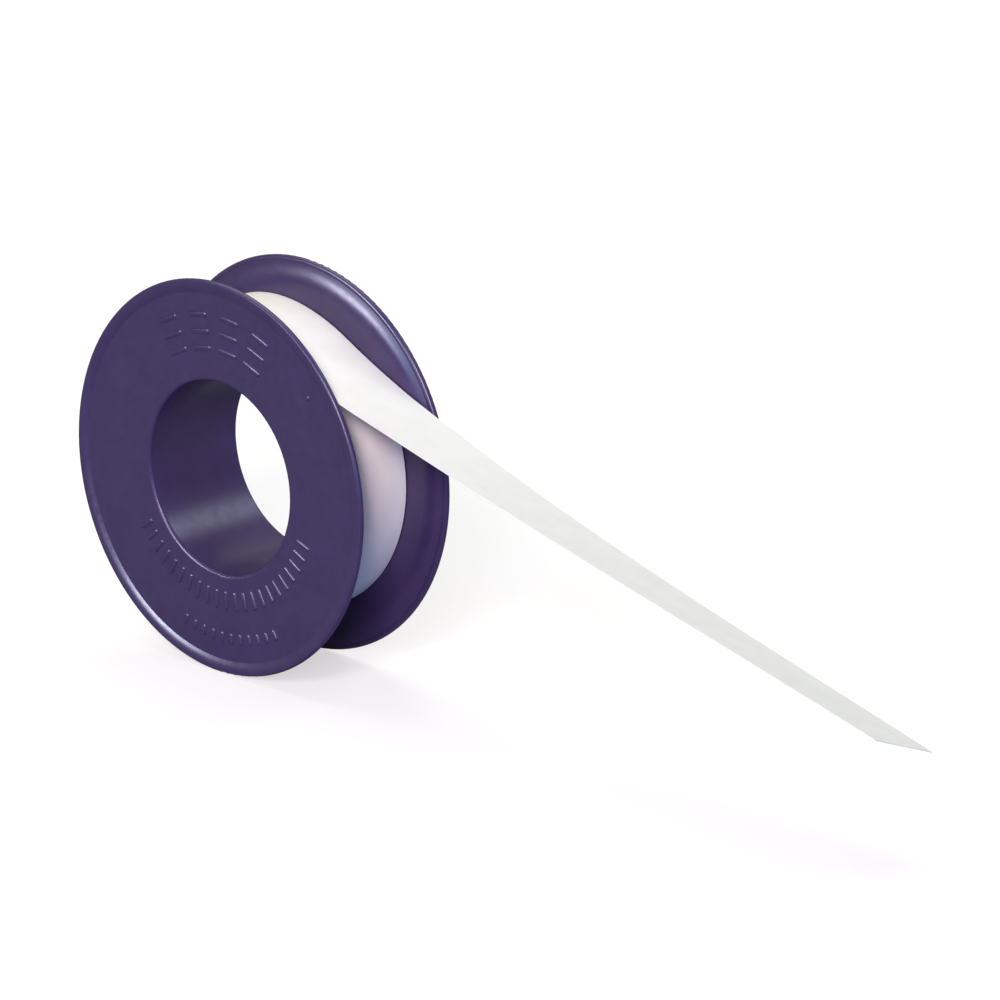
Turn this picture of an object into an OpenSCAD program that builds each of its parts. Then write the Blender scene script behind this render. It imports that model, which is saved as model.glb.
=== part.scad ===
// Roll of PTFE thread seal tape: a moulded spool of two halves that snap together, the wound tape,
// and the tail of tape that is drawn off it.
// The origin is the centre of the bore. The bore runs along Y, the front flange is at -Y and +Z is up.

/* [Spool] */
// Outside diameter of the two flanges
flange_d = 50; // [46:1:64]
// Diameter of the bore through the spool
bore_d = 24.5; // [20:0.5:27]
// Thickness of a flange between its bore and its rim
web_t = 1.3; // [1.2:0.1:2.4]
// Thickness of the round bead along a flange's rim
bead_d = 0.9; // [0.7:0.05:1.2]
// Height of the bead above the flange's outer face
bead_rise = 0.3; // [0.1:0.05:0.4]
// Width of the flat land on the bead, on which the roll lies
land_w = 0.4; // [0.2:0.05:0.6]
// Radius of the bead's long inner side, from its land down to the flange's outer face
bead_side_r = 2; // [1:0.25:4]
// Radius that rounds a flange's inner face towards its rim
lead_in_r = 4; // [3.5:0.5:8]
// Width of that rounded stretch, up to the middle of the bead
lead_in_w = 2.6; // [1.5:0.1:3]
// Rounding of the spool's front and rear edges at the bore
edge_r = 0.4; // [0.2:0.1:0.6]

/* [Hub] */
// Wall of the front half's sleeve, which lines the bore
sleeve_t = 1; // [0.8:0.1:1.4]
// Wall of the rear half's hub, which carries the tape
hub_t = 1; // [0.8:0.1:1.4]
// Radial play between the sleeve and the hub
sleeve_play = 0.05; // [0.02:0.01:0.1]
// Height of the snap ridge round the sleeve's rear end
snap_rise = 0.3; // [0.2:0.05:0.5]
// Length of the snap ridge's steep and sloping sides together
snap_len = 0.8; // [0.6:0.05:1]

/* [Tape] */
// Width of the tape
tape_w = 12; // [10:0.5:19]
// Thickness of the tape
tape_t = 0.1; // [0.08:0.02:0.2]
// Depth of the wound tape on the hub, under its last turn
wound_depth = 4.45; // [1:0.05:5]
// Room between the tape and each flange
side_gap = 0.15; // [0.1:0.05:0.4]
// Room between the hub and the innermost turn
wind_gap = 0.05; // [0.02:0.01:0.1]
// Room between the last turn and the turns under it
turn_gap = 0.1; // [0.08:0.01:0.2]

/* [Slack] */
// Height to which the loose last turn stands off the turns under it
slack_rise = 2.2; // [0:0.1:2.4]
// Angle from the top of the roll at which it stands highest
slack_angle = -40; // [-60:1:-40]
// Angle to each side in which it comes back down
slack_spread = 66; // [40:1:66]

/* [Tail] */
// Angle from the top of the roll at which the tape leaves it
leave_angle = 24; // [20:1:35]
// Angle past that point at which the last turn begins, under the tail
tuck_angle = 20; // [15:1:40]
// Twist that the tail tends to, far from the roll
tail_twist = 24; // [0:1:30]
// Length of tail in which about two thirds of the twist builds up
twist_run = 36; // [20:1:80]

/* [Hidden] */
$fn = 96;

spool_colour = "#433c63";
tape_colour = "#f4f2ed";

// Heights are measured along the axis from the middle of the roll, towards the flange in question
face_h = tape_w / 2 + side_gap;
outer_h = face_h + web_t;
land_h = outer_h + bead_rise;

bead_r = bead_d / 2;
bead_mid_r = flange_d / 2 - bead_r;
// The bead is a circle cut flat at its land
land_cut = bead_r - sqrt(pow(bead_r, 2) - pow(land_w / 2, 2));
bead_mid_h = land_h + land_cut - bead_r;
land_from_r = bead_mid_r - land_w / 2;
bead_side_w = sqrt(2 * bead_side_r * bead_rise - pow(bead_rise, 2));
lead_in_from = bead_mid_r - lead_in_w;

bore_r = bore_d / 2;
sleeve_r = bore_r + sleeve_t;
hub_bore_r = sleeve_r + sleeve_play;
hub_r = hub_bore_r + hub_t;
// The snap ridge lies in the thickness of the rear flange
snap_from = outer_h - (web_t - snap_len) / 2;
snap_steep = snap_len / 4;

wound_from_r = hub_r + wind_gap;
pack_r = wound_from_r + wound_depth;
turn_r = pack_r + turn_gap + tape_t / 2;

// The tail's route, as steps along +X and +Z from the point where the tape leaves the roll
tail_route = [
    [3.3, -1.4], [6.3, -2.6], [9.8, -3.9], [13.3, -5.1],
    [21.3, -7.55], [28.3, -9.65], [35.3, -11.65], [42.3, -13.55],
    [49.3, -15.4], [56.3, -17.2], [63.3, -18.95], [70.3, -20.65],
    [77.3, -22.35], [84.3, -24.05], [91.3, -25.75], [99.3, -27.7]
];
// Route points in the end of the tail, which the hand holds and pulls
end_points = 3;
turn_steps = 48;

// How far the last turn stands off at an angle, and how that changes for each radian
function slack_phase(angle) = 90 * max(-1, min(1, (angle - slack_angle) / slack_spread));
function slack(angle) = slack_rise * pow(cos(slack_phase(angle)), 2);
function slack_slope(angle) = -slack_rise * sin(2 * slack_phase(angle)) * 90 / slack_spread;

// A station of the tape's middle line holds x, z, its downward heading and its twist
function turn_station(angle) =
    let (r = turn_r + slack(angle))
    [r * sin(angle), r * cos(angle), angle - atan2(slack_slope(angle), r), 0];

last_turn = 360 - tuck_angle;
turn_stations = [
    for (i = [0 : turn_steps]) turn_station(leave_angle - last_turn * (1 - i / turn_steps))
];

leave = [turn_r * sin(leave_angle), turn_r * cos(leave_angle)];
tail_points = [leave, for (step = tail_route) leave + step];
tail_last = len(tail_points) - 1;

function run(i) = i == 0 ? 0 : run(i - 1) + norm(tail_points[i] - tail_points[i - 1]);
function twist_at(length) = tail_twist * (1 - exp(-length / twist_run));
function heading(from, to) = atan2(from[1] - to[1], to[0] - from[0]);
function tail_station(i) = [
    tail_points[i][0],
    tail_points[i][1],
    heading(tail_points[i - 1], tail_points[min(i + 1, tail_last)]),
    twist_at(run(i))
];

tail_stations = [for (i = [1 : tail_last]) tail_station(i)];
split = tail_last - end_points;
lead_stations = [each turn_stations, for (i = [0 : split - 1]) tail_stations[i]];
end_stations = [for (i = [split - 1 : tail_last - 1]) tail_stations[i]];

// Least gap between the start of the last turn and the tail that leaves over it
start = [turn_stations[0][0], turn_stations[0][1]];
tail_gap = min([
    for (i = [1 : tail_last])
        for (part = [0 : 0.05 : 1])
            norm(tail_points[i - 1] * (1 - part) + tail_points[i] * part - start)
]) - tape_t;
echo("Least gap between the last turn and the tail in mm", tail_gap);

// Four corners of the tape at a station, which the twist turns with the front edge up
function ring(s) =
    let (
        up = [sin(s[2]), 0, cos(s[2])],
        across = [0, cos(s[3]), 0] - sin(s[3]) * up,
        through = [0, sin(s[3]), 0] + cos(s[3]) * up
    )
    [
        for (side = [[-1, -1], [1, -1], [1, 1], [-1, 1]])
            [s[0], 0, s[1]] + side[0] * tape_w / 2 * across + side[1] * tape_t / 2 * through
    ];

// Strip of tape through a list of stations
module strip(stations) {
    count = len(stations);
    last = 4 * (count - 1);
    points = [for (s = stations) each ring(s)];
    sides = [
        for (i = [0 : count - 2])
            for (k = [0 : 3])
                let (a = 4 * i + k, b = 4 * i + (k + 1) % 4)
                each [[a, b, b + 4], [a, b + 4, a + 4]]
    ];
    ends = [[0, 2, 1], [0, 3, 2], [last, last + 1, last + 2], [last, last + 2, last + 3]];
    polyhedron(points, concat(sides, ends), convexity = 6);
}

// Solid of revolution about the bore: the section's second axis points to the front
module about_bore() {
    rotate([90, 0, 0])
        rotate_extrude()
            children();
}

// Section of a flange from a given radius out to its bead
module flange_section(inner_r) {
    translate([inner_r, face_h])
        square([lead_in_from - inner_r, web_t]);
    intersection() {
        translate([lead_in_from, face_h])
            square([lead_in_w, web_t]);
        translate([lead_in_from, face_h + lead_in_r])
            circle(lead_in_r);
    }
    intersection() {
        translate([bead_mid_r, bead_mid_h])
            circle(bead_r);
        translate([bead_mid_r - bead_r, land_h - bead_d])
            square(bead_d);
    }
    intersection() {
        translate([land_from_r, land_h - bead_side_r])
            circle(bead_side_r);
        translate([land_from_r - bead_side_w, outer_h])
            square([bead_side_w, bead_rise]);
    }
}

// What the rounding takes off the sleeve's edge at the bore
module edge_cut() {
    difference() {
        translate([bore_r - edge_r, outer_h - edge_r])
            square(2 * edge_r);
        translate([bore_r + edge_r, outer_h - edge_r])
            circle(edge_r);
        translate([bore_r + edge_r, outer_h - edge_r])
            square([edge_r, 2 * edge_r]);
    }
}

// Corners of the snap ridge, rear first: a slope that leads in and a steep side that holds
function snap_corners(play) = [
    [sleeve_r, -snap_from - play],
    [sleeve_r + snap_rise + play, play - snap_from + snap_len - snap_steep],
    [sleeve_r, play - snap_from + snap_len]
];

// Section of the sleeve with its snap ridge
module sleeve_section() {
    polygon([
        [bore_r, -outer_h],
        [sleeve_r, -outer_h],
        each snap_corners(0),
        [sleeve_r, outer_h],
        [bore_r, outer_h]
    ]);
}

// Front half: flange and the sleeve that lines the bore through both halves
module spool_front() {
    color(spool_colour)
        about_bore()
            difference() {
                union() {
                    flange_section(bore_r);
                    sleeve_section();
                }
                edge_cut();
                mirror([0, 1])
                    edge_cut();
            }
}

// Rear half: flange and the hub that the tape is wound on, grooved for the snap ridge
module spool_rear() {
    color(spool_colour)
        about_bore()
            difference() {
                mirror([0, 1]) {
                    flange_section(hub_bore_r);
                    translate([hub_bore_r, -face_h])
                        square([hub_t, 2 * face_h]);
                }
                polygon(snap_corners(sleeve_play));
            }
}

// Wound tape under the last turn
module tape_pack() {
    color(tape_colour)
        about_bore()
            translate([wound_from_r, -tape_w / 2])
                square([wound_depth, tape_w]);
}

// Last turn of the tape and the tail that leaves it
module tape_lead() {
    color(tape_colour)
        strip(lead_stations);
}

// End of the tail, by which the tape is pulled
module tape_end() {
    color(tape_colour)
        strip(end_stations);
}

spool_front();
spool_rear();
tape_pack();
tape_lead();
tape_end();
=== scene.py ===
import math
import random

import bpy
from mathutils import Matrix, Vector


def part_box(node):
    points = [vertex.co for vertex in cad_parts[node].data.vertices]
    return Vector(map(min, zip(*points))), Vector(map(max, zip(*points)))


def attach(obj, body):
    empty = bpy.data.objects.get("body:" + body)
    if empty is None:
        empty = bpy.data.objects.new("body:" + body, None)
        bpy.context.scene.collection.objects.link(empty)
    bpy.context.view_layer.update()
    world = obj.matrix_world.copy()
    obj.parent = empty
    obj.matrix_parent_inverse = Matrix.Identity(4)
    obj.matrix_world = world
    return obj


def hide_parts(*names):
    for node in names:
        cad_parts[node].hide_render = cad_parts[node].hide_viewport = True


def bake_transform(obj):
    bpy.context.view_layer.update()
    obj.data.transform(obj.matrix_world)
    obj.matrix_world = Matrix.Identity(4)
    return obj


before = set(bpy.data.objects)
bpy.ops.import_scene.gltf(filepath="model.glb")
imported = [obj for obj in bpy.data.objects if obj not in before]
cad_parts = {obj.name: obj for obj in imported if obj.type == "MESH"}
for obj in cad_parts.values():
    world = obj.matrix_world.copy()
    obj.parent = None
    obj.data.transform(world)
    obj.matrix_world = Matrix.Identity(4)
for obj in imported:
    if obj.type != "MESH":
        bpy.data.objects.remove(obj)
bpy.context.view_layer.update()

MM = 0.001

# Camera: the photograph's viewing angle, and the pixel where the centre of the bore lies
VIEW_AZIMUTH = 44.64
VIEW_ELEVATION = 17.84
VIEW_DISTANCE = 1230 * MM
FOCAL_PIXELS = 10000
IMAGE_PIXELS = 1000
SENSOR_MM = 36
ROLL_CENTRE_PIXEL = (262.5, 465.1)
CLIP_NEAR = 0.01
CLIP_FAR = 50

# Stage: how far the lamps stand from the roll, half the floor's width, and the share of the white
# background that shows in the plastic's gloss
LAMP_DISTANCE = 2.4
NEAR_LAMP_DISTANCE = 2.1
FLOOR_HALF = 2
GLOSS_SHARE = 0.08

# Tape: its sizes and its run, as in the solids. Angles are in degrees from the top of the roll, and the
# tail's route is in millimetres along +X and +Z from the point where the tape leaves the roll
TAPE_W = 12 * MM
TAPE_T = 0.1 * MM
TURN_GAP = 0.1 * MM
SLACK_RISE = 2.2 * MM
SLACK_ANGLE = -40
SLACK_SPREAD = 66
LEAVE_ANGLE = 24
TUCK_ANGLE = 20
TAIL_TWIST = 24
TWIST_RUN = 36 * MM
TAIL_ROUTE = [
    (3.3, -1.4), (6.3, -2.6), (9.8, -3.9), (13.3, -5.1),
    (21.3, -7.55), (28.3, -9.65), (35.3, -11.65), (42.3, -13.55),
    (49.3, -15.4), (56.3, -17.2), (63.3, -18.95), (70.3, -20.65),
    (77.3, -22.35), (84.3, -24.05), (91.3, -25.75), (99.3, -27.7),
]

# Tail: how much light its film lets in
TAIL_LIGHT_THROUGH = 0.4

# Fineness of the film: degrees between points of the last turn, parts between points of the route, faces
# across the tail and across a wound turn, and the angle above which an edge stays sharp
TURN_STEP = 2
ROUTE_PARTS = 8
TAIL_FACES = 8
WOUND_FACES = 1
SHARP_ANGLE = 40

# Wound turns: points in a turn, how far one may lie aside, and a thickness that leaves them apart
WOUND_STEPS = 90
WOUND_ASIDE = 0.05 * MM
WOUND_T = 0.9 * TAPE_T
WOUND_SEED = 4

# Raised bars on the front face, in rows of millimetres and degrees: radius of their middle, reach outward,
# reach around, first angle, last angle and count
BEAD_RISE = 0.3 * MM
MARK_W = 0.7 * MM
MARK_RISE = 0.16 * MM
MARK_ROWS = [
    (16.4, 0, 9, -25, 21, 4),
    (18.5, 0, 8, -25, 21, 4),
    (20.6, 0, 7, -25, 21, 4),
    (15.6, 1.8, 0, 110, 236, 22),
    (20.4, 0.8, 0, 152, 197, 11),
]
GATE_R = 20.9 * MM
GATE_ANGLE = 49

# Points around a bar, and its section from its top to below the face, in shares of its half width and rise
MARK_STEPS = 24
MARK_SECTION = [(0.35, 1), (0.6, 0.87), (0.8, 0.62), (0.93, 0.33), (1, 0), (1, -0.5)]

# Places on the solids: the floor, the front face inside its bead, the wound tape and the last turn
spool_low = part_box("spool_front")[0]
FLOOR_Z = spool_low.z
FACE_Y = spool_low.y + BEAD_RISE
PACK_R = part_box("tape_pack")[1].z
PACK_INNER_R = 14.35 * MM
TURN_R = PACK_R + TURN_GAP + TAPE_T / 2


def new_material(name):
    """A material with its principled shader, its nodes and their links."""
    material = bpy.data.materials.new(name)
    material.use_nodes = True
    nodes = material.node_tree.nodes
    return material, nodes["Principled BSDF"], nodes, material.node_tree.links


def grey(value):
    """The colour that stands for one value."""
    return (value, value, value)


def ramp(nodes, links, factor, stops):
    """A colour ramp over a factor, between two (position, colour) stops."""
    node = nodes.new("ShaderNodeValToRGB")
    for element, (position, colour) in zip(node.color_ramp.elements, stops):
        element.position = position
        element.color = (*colour, 1)
    links.new(factor, node.inputs["Fac"])
    return node.outputs["Color"]


def noise(nodes, links, vector, scale, detail=4, roughness=0.5):
    """A noise texture over the given coordinates."""
    node = nodes.new("ShaderNodeTexNoise")
    node.inputs["Scale"].default_value = scale
    node.inputs["Detail"].default_value = detail
    node.inputs["Roughness"].default_value = roughness
    links.new(vector, node.inputs["Vector"])
    return node.outputs["Fac"]


def stretched(nodes, links, vector, scale):
    """Coordinates scaled along each axis."""
    node = nodes.new("ShaderNodeMapping")
    node.inputs["Scale"].default_value = scale
    links.new(vector, node.inputs["Vector"])
    return node.outputs["Vector"]


def bump(nodes, links, height, distance, strength, normal=None):
    """A bump of the given depth, on top of another normal where there is one."""
    node = nodes.new("ShaderNodeBump")
    node.inputs["Strength"].default_value = strength
    node.inputs["Distance"].default_value = distance
    links.new(height, node.inputs["Height"])
    if normal is not None:
        links.new(normal, node.inputs["Normal"])
    return node.outputs["Normal"]


def spool_plastic():
    """Moulded dark indigo plastic: half glossy, with fine grain, slight waves and mottling."""
    material, shader, nodes, links = new_material("spool_plastic")
    shader.inputs["Specular IOR Level"].default_value = 0.5
    place = nodes.new("ShaderNodeTexCoord").outputs["Object"]
    mottling = noise(nodes, links, place, scale=260, detail=5)
    colour = ramp(nodes, links, mottling, [(0.3, (0.038, 0.0235, 0.083)), (0.7, (0.047, 0.0295, 0.1))])
    links.new(colour, shader.inputs["Base Color"])
    haze = noise(nodes, links, place, scale=900, detail=3)
    gloss = ramp(nodes, links, haze, [(0.25, grey(0.28)), (0.75, grey(0.36))])
    links.new(gloss, shader.inputs["Roughness"])
    swell = noise(nodes, links, place, scale=500, detail=2)
    waves = bump(nodes, links, swell, distance=0.06 * MM, strength=0.12)
    pores = noise(nodes, links, place, scale=2200, detail=2)
    grain = bump(nodes, links, pores, distance=0.01 * MM, strength=0.1, normal=waves)
    links.new(grain, shader.inputs["Normal"])
    return material


def tape_film(name, light_through):
    """Unsintered PTFE film: waxy warm white with soft blotches, streaks along it and ripples across it."""
    material, shader, nodes, links = new_material(name)
    shader.inputs["IOR"].default_value = 1.35
    shader.inputs["Subsurface Weight"].default_value = light_through
    shader.inputs["Subsurface Radius"].default_value = (1, 0.9, 0.9)
    shader.inputs["Subsurface Scale"].default_value = 0.15 * MM
    uv = nodes.new("ShaderNodeTexCoord").outputs["UV"]
    blotches = noise(nodes, links, uv, scale=3)
    colour = ramp(nodes, links, blotches, [(0.3, (0.835, 0.84, 0.77)), (0.7, (0.885, 0.885, 0.815))])
    links.new(colour, shader.inputs["Base Color"])
    along = stretched(nodes, links, uv, (1.2, 34, 1))
    streaks = noise(nodes, links, along, scale=1, detail=6, roughness=0.6)
    gloss = ramp(nodes, links, streaks, [(0.3, grey(0.5)), (0.7, grey(0.62))])
    links.new(gloss, shader.inputs["Roughness"])
    across = stretched(nodes, links, uv, (9, 1.2, 1))
    ripples = noise(nodes, links, across, scale=1, detail=3)
    rippled = bump(nodes, links, ripples, distance=0.12 * MM, strength=0.2)
    streaked = bump(nodes, links, streaks, distance=0.03 * MM, strength=0.2, normal=rippled)
    links.new(streaked, shader.inputs["Normal"])
    return material


def slack(angle):
    """How far the loose last turn stands off the turns under it, at an angle from the top."""
    part = max(-1, min(1, (angle - SLACK_ANGLE) / SLACK_SPREAD))
    return SLACK_RISE * math.cos(math.radians(90 * part)) ** 2


def on_roll(radius, angle):
    """The point in the XZ plane at a radius and at an angle in degrees from the top, towards +X."""
    turn = math.radians(angle)
    return Vector((radius * math.sin(turn), 0, radius * math.cos(turn)))


def smooth(points, parts):
    """A smooth curve through the points, with that many parts between each pair."""
    guide = [points[0] * 2 - points[1], *points, points[-1] * 2 - points[-2]]
    curve = [points[0]]
    for a, b, c, d in zip(guide, guide[1:], guide[2:], guide[3:]):
        for i in range(1, parts + 1):
            t = i / parts
            straight = 2 * b + (c - a) * t
            square = (2 * a - 5 * b + 4 * c - d) * t**2
            cube = (3 * b - a - 3 * c + d) * t**3
            curve.append((straight + square + cube) / 2)
    return curve


def last_turn_and_tail():
    """The middle line of the last turn and of the tail, and its twist at each point."""
    turn = 360 - TUCK_ANGLE
    line = []
    for i in range(turn // TURN_STEP + 1):
        angle = LEAVE_ANGLE - turn + TURN_STEP * i
        line.append(on_roll(TURN_R + slack(angle), angle))
    leave = line[-1]
    twists = [0] * len(line)
    tail = [leave] + [leave + Vector((x * MM, 0, z * MM)) for x, z in TAIL_ROUTE]
    for point in smooth(tail, ROUTE_PARTS)[1:]:
        line.append(point)
        run = (point - leave).length
        twists.append(math.radians(TAIL_TWIST) * (1 - math.exp(-run / TWIST_RUN)))
    return line, twists


def ring(point, ahead, twist, shift, thickness, across):
    """The film's outline at one point: its top from edge to edge, and back along its underside."""
    up = Vector((-ahead.z, 0, ahead.x))
    aside = Vector((0, 1, 0))
    side = math.cos(twist) * aside - math.sin(twist) * up
    out = math.sin(twist) * aside + math.cos(twist) * up
    middle = point + aside * shift + out * thickness / 2
    top = [middle + side * TAPE_W * (k / across - 0.5) for k in range(across + 1)]
    return top + [p - out * thickness for p in reversed(top)]


def strip(name, line, twists, shifts, thickness, across):
    """A closed strip of film along a line in the XZ plane, with UVs in tape widths along and across it."""
    last = len(line) - 1
    count = 2 * (across + 1)
    verts = []
    lengths = [0]
    for i, point in enumerate(line):
        ahead = (line[min(i + 1, last)] - line[max(i - 1, 0)]).normalized()
        verts += ring(point, ahead, twists[i], shifts[i], thickness, across)
    for a, b in zip(line, line[1:]):
        lengths.append(lengths[-1] + (b - a).length)
    faces = []
    for i in range(last):
        for k in range(count):
            n = (k + 1) % count
            faces.append((i * count + k, (i + 1) * count + k, (i + 1) * count + n, i * count + n))
    faces.append(tuple(range(count)))
    faces.append(tuple(range(len(verts) - 1, len(verts) - count - 1, -1)))
    mesh = bpy.data.meshes.new(name)
    mesh.from_pydata(verts, [], faces)
    uv = mesh.uv_layers.new(name="UVMap").data
    for loop in mesh.loops:
        i, k = divmod(loop.vertex_index, count)
        uv[loop.index].uv = (lengths[i] / TAPE_W, min(k, count - 1 - k) / across)
    mesh.shade_smooth()
    mesh.set_sharp_from_angle(angle=math.radians(SHARP_ANGLE))
    piece = bpy.data.objects.new(name, mesh)
    bpy.context.collection.objects.link(piece)
    return piece


def make_tail(film):
    """The last turn and the tail as one strip."""
    line, twists = last_turn_and_tail()
    piece = strip("tape_tail", line, twists, [0] * len(line), TAPE_T, TAIL_FACES)
    piece.data.materials.append(film)
    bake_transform(piece)
    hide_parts("tape_lead", "tape_end")


def make_pack(film):
    """The wound turns as one spiral strip, each turn a little to one side of the next."""
    turns = int((PACK_R - PACK_INNER_R) / TAPE_T)
    dice = random.Random(WOUND_SEED)
    asides = [dice.uniform(-WOUND_ASIDE, WOUND_ASIDE) for _ in range(turns + 2)]
    line = []
    shifts = []
    for i in range((turns - 1) * WOUND_STEPS + 1):
        turn, step = divmod(i, WOUND_STEPS)
        part = step / WOUND_STEPS
        line.append(on_roll(PACK_INNER_R + TAPE_T * (0.5 + turn + part), 360 * part))
        shifts.append(asides[turn] + (asides[turn + 1] - asides[turn]) * part)
    piece = strip("tape_wound", line, [0] * len(line), shifts, WOUND_T, WOUND_FACES)
    piece.data.materials.append(film)
    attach(piece, "roll")
    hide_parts("tape_pack")


def add_mark(verts, faces, start, end):
    """A rounded bar from one point of the front face to another, sunk a little into that face."""
    along = (end - start).normalized() if end != start else Vector((0, 0, 1))
    side = along.cross(Vector((0, 1, 0)))
    first = len(verts)
    for reach, rise in MARK_SECTION:
        for i in range(MARK_STEPS):
            turn = 2 * math.pi * i / MARK_STEPS
            foot = end if i < MARK_STEPS / 2 else start
            spread = MARK_W / 2 * reach * (math.cos(turn) * side + math.sin(turn) * along)
            verts.append(foot + spread - Vector((0, MARK_RISE * rise, 0)))
    for level in range(len(MARK_SECTION) - 1):
        a = first + level * MARK_STEPS
        b = a + MARK_STEPS
        for i in range(MARK_STEPS):
            n = (i + 1) % MARK_STEPS
            faces.append((a + i, a + n, b + n, b + i))
    faces.append(tuple(range(first + MARK_STEPS - 1, first - 1, -1)))
    faces.append(tuple(range(len(verts) - MARK_STEPS, len(verts))))


def make_marks(plastic):
    """Plain raised bars and the gate's pip on the front face."""
    verts = []
    faces = []
    at_face = Vector((0, FACE_Y, 0))
    for middle, outward, around, first, last, count in MARK_ROWS:
        for i in range(count):
            angle = first + (last - first) * i / (count - 1)
            low = on_roll((middle - outward / 2) * MM, angle - around / 2)
            high = on_roll((middle + outward / 2) * MM, angle + around / 2)
            add_mark(verts, faces, low + at_face, high + at_face)
    pip = on_roll(GATE_R, GATE_ANGLE) + at_face
    add_mark(verts, faces, pip, pip)
    mesh = bpy.data.meshes.new("face_marks")
    mesh.from_pydata(verts, [], faces)
    mesh.shade_smooth()
    mesh.materials.append(plastic)
    piece = bpy.data.objects.new("face_marks", mesh)
    bpy.context.collection.objects.link(piece)
    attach(piece, "roll")


def dress_spool(plastic):
    """Both halves of the spool, as they are, in the plastic."""
    for name in ("spool_front", "spool_rear"):
        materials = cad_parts[name].data.materials
        materials.clear()
        materials.append(plastic)


def make_camera():
    """The camera at the photograph's angle, set aside so that the bore's centre lies at its pixel."""
    azimuth = math.radians(VIEW_AZIMUTH)
    elevation = math.radians(VIEW_ELEVATION)
    level = math.cos(elevation)
    back = Vector((math.sin(azimuth) * level, -math.cos(azimuth) * level, math.sin(elevation)))
    right = Vector((math.cos(azimuth), math.sin(azimuth), 0))
    up = back.cross(right)
    scale = VIEW_DISTANCE / FOCAL_PIXELS
    aside = (ROLL_CENTRE_PIXEL[0] - IMAGE_PIXELS / 2) * scale
    above = (IMAGE_PIXELS / 2 - ROLL_CENTRE_PIXEL[1]) * scale
    data = bpy.data.cameras.new("camera")
    data.sensor_width = SENSOR_MM
    data.lens = FOCAL_PIXELS / IMAGE_PIXELS * SENSOR_MM
    data.clip_start = CLIP_NEAR
    data.clip_end = CLIP_FAR
    camera = bpy.data.objects.new("camera", data)
    turn = Matrix((right, up, back)).transposed().to_4x4()
    camera.matrix_world = Matrix.Translation(back * VIEW_DISTANCE - right * aside - up * above) @ turn
    bpy.context.collection.objects.link(camera)
    bpy.context.scene.camera = camera


def background_share(nodes, links):
    """How much of the white background a ray sees: all by camera or through glass, a part by gloss."""
    path = nodes.new("ShaderNodeLightPath")
    gloss = nodes.new("ShaderNodeMath")
    gloss.operation = "MULTIPLY"
    gloss.inputs[1].default_value = GLOSS_SHARE
    links.new(path.outputs["Is Glossy Ray"], gloss.inputs[0])
    share = gloss.outputs["Value"]
    for ray in ("Is Camera Ray", "Is Transmission Ray"):
        larger = nodes.new("ShaderNodeMath")
        larger.operation = "MAXIMUM"
        links.new(share, larger.inputs[0])
        links.new(path.outputs[ray], larger.inputs[1])
        share = larger.outputs["Value"]
    return share


def make_world():
    """White to the camera, dim and a little cool to everything else."""
    world = bpy.data.worlds.new("world")
    world.use_nodes = True
    bpy.context.scene.world = world
    nodes = world.node_tree.nodes
    links = world.node_tree.links
    dim = nodes["Background"]
    dim.inputs["Color"].default_value = (0.85, 0.82, 0.9, 1)
    dim.inputs["Strength"].default_value = 0.18
    white = nodes.new("ShaderNodeBackground")
    white.inputs["Color"].default_value = (1, 1, 1, 1)
    mix = nodes.new("ShaderNodeMixShader")
    links.new(background_share(nodes, links), mix.inputs["Fac"])
    links.new(dim.outputs["Background"], mix.inputs[1])
    links.new(white.outputs["Background"], mix.inputs[2])
    links.new(mix.outputs["Shader"], nodes["World Output"].inputs["Surface"])


def make_stage():
    """A pale floor that keeps the roll's shadow: white to the camera, cool in the light it throws back."""
    material, shader, nodes, links = new_material("floor")
    material.cycles.emission_sampling = "NONE"
    shader.inputs["Base Color"].default_value = (0.39, 0.42, 0.42, 1)
    shader.inputs["Roughness"].default_value = 0.9
    shader.inputs["Emission Color"].default_value = (1, 0.95, 0.94, 1)
    shader.inputs["Emission Strength"].default_value = 0.625
    cool = nodes.new("ShaderNodeBsdfDiffuse")
    cool.inputs["Color"].default_value = (0.19, 0.195, 0.29, 1)
    mix = nodes.new("ShaderNodeMixShader")
    links.new(background_share(nodes, links), mix.inputs["Fac"])
    links.new(cool.outputs["BSDF"], mix.inputs[1])
    links.new(shader.outputs["BSDF"], mix.inputs[2])
    links.new(mix.outputs["Shader"], nodes["Material Output"].inputs["Surface"])
    mesh = bpy.data.meshes.new("floor")
    corners = [(-1, -1), (1, -1), (1, 1), (-1, 1)]
    mesh.from_pydata([(x * FLOOR_HALF, y * FLOOR_HALF, FLOOR_Z) for x, y in corners], [], [(0, 1, 2, 3)])
    mesh.materials.append(material)
    floor = bpy.data.objects.new("floor", mesh)
    bpy.context.collection.objects.link(floor)


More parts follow.
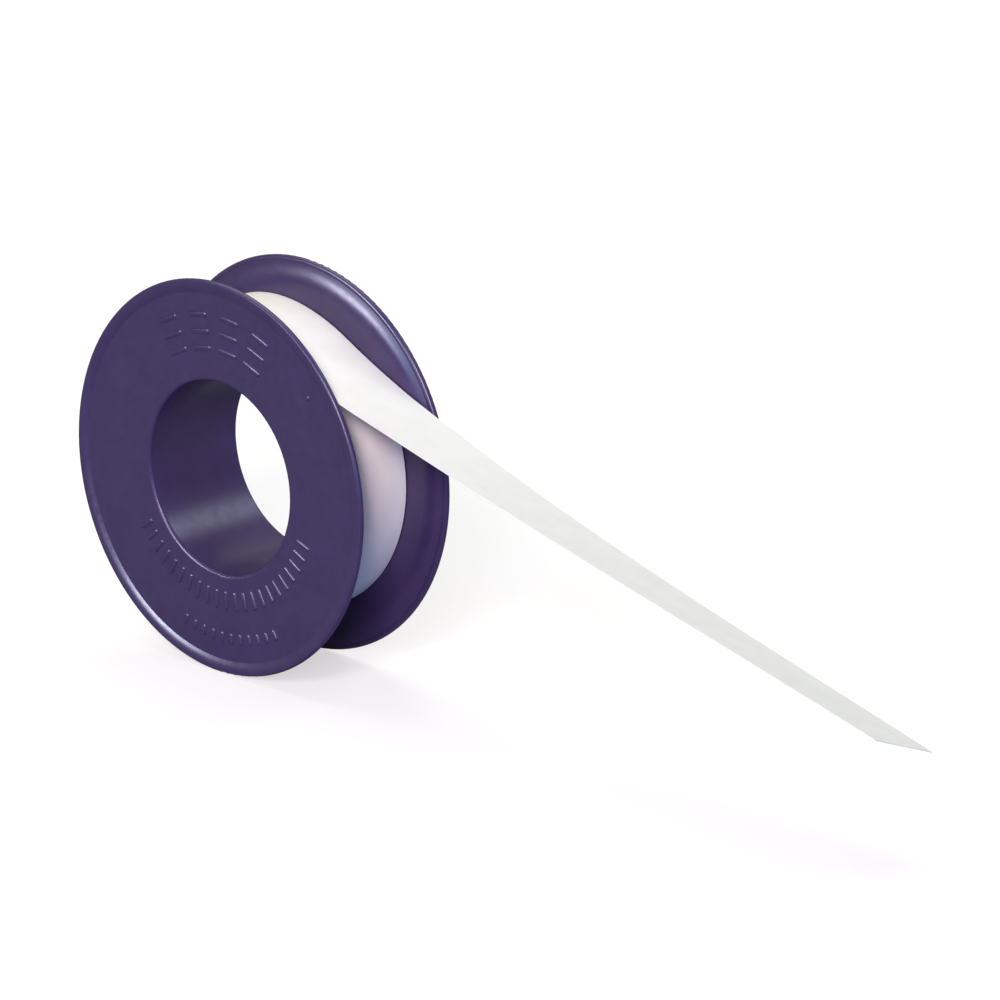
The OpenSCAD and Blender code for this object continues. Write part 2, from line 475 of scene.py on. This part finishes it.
def area_light(name, direction, size, power, colour, distance=LAMP_DISTANCE, diffuse=True, gloss=True):
    """A soft rectangular lamp that faces the roll, seen in diffuse light, in gloss or in both."""
    data = bpy.data.lights.new(name, "AREA")
    data.shape = "RECTANGLE"
    data.size, data.size_y = size
    data.energy = power
    data.color = colour
    light = bpy.data.objects.new(name, data)
    way = Vector(direction).normalized()
    light.location = way * distance
    light.visible_diffuse = diffuse
    light.visible_glossy = gloss
    light.rotation_mode = "QUATERNION"
    light.rotation_quaternion = way.to_track_quat("Z", "Y")
    bpy.context.collection.objects.link(light)


def make_lamps():
    """The soft lamps: rim and window show only in the plastic's gloss, and rear only in diffuse light."""
    area_light("main", (0.475, -0.71, 0.52), size=(0.48, 0.48), power=35, colour=(1, 0.9, 0.87))
    area_light("front", (0.61, -0.7, 0.37), size=(0.34, 0.34), power=21, colour=(1, 0.73, 0.98))
    area_light("top", (-0.35, 0.15, 0.92), size=(2.1, 2.1), power=36, colour=(0.965, 0.965, 0.81))
    area_light(
        "rim", (-0.36, -0.86, 0.34), size=(0.9, 0.54), power=42, colour=(0.82, 0.87, 1),
        distance=NEAR_LAMP_DISTANCE, diffuse=False,
    )
    area_light(
        "window", (-0.27, -0.93, 0.25), size=(1.1, 0.8), power=25, colour=(0.78, 0.8, 1),
        distance=NEAR_LAMP_DISTANCE, diffuse=False,
    )
    area_light("sheen", (0.08, -0.93, 0.33), size=(0.75, 0.45), power=8, colour=(0.2, 0.55, 1))
    area_light("side", (0.98, 0, 0.1), size=(0.9, 0.9), power=20, colour=(0.05, 0.42, 1))
    area_light("back", (0.29, 0.705, 0.646), size=(0.8, 0.8), power=10, colour=(0.64, 0.76, 0.84))
    area_light("rear", (-0.5, 0.86, 0.06), size=(1.5, 0.3), power=6, colour=(1, 0.95, 1), gloss=False)


make_camera()
make_tail(tape_film("tail_film", TAIL_LIGHT_THROUGH))
make_pack(tape_film("wound_film", 0))
plastic = spool_plastic()
dress_spool(plastic)
make_marks(plastic)
make_world()
make_stage()
make_lamps()

bpy.context.scene.view_settings.view_transform = "Standard"
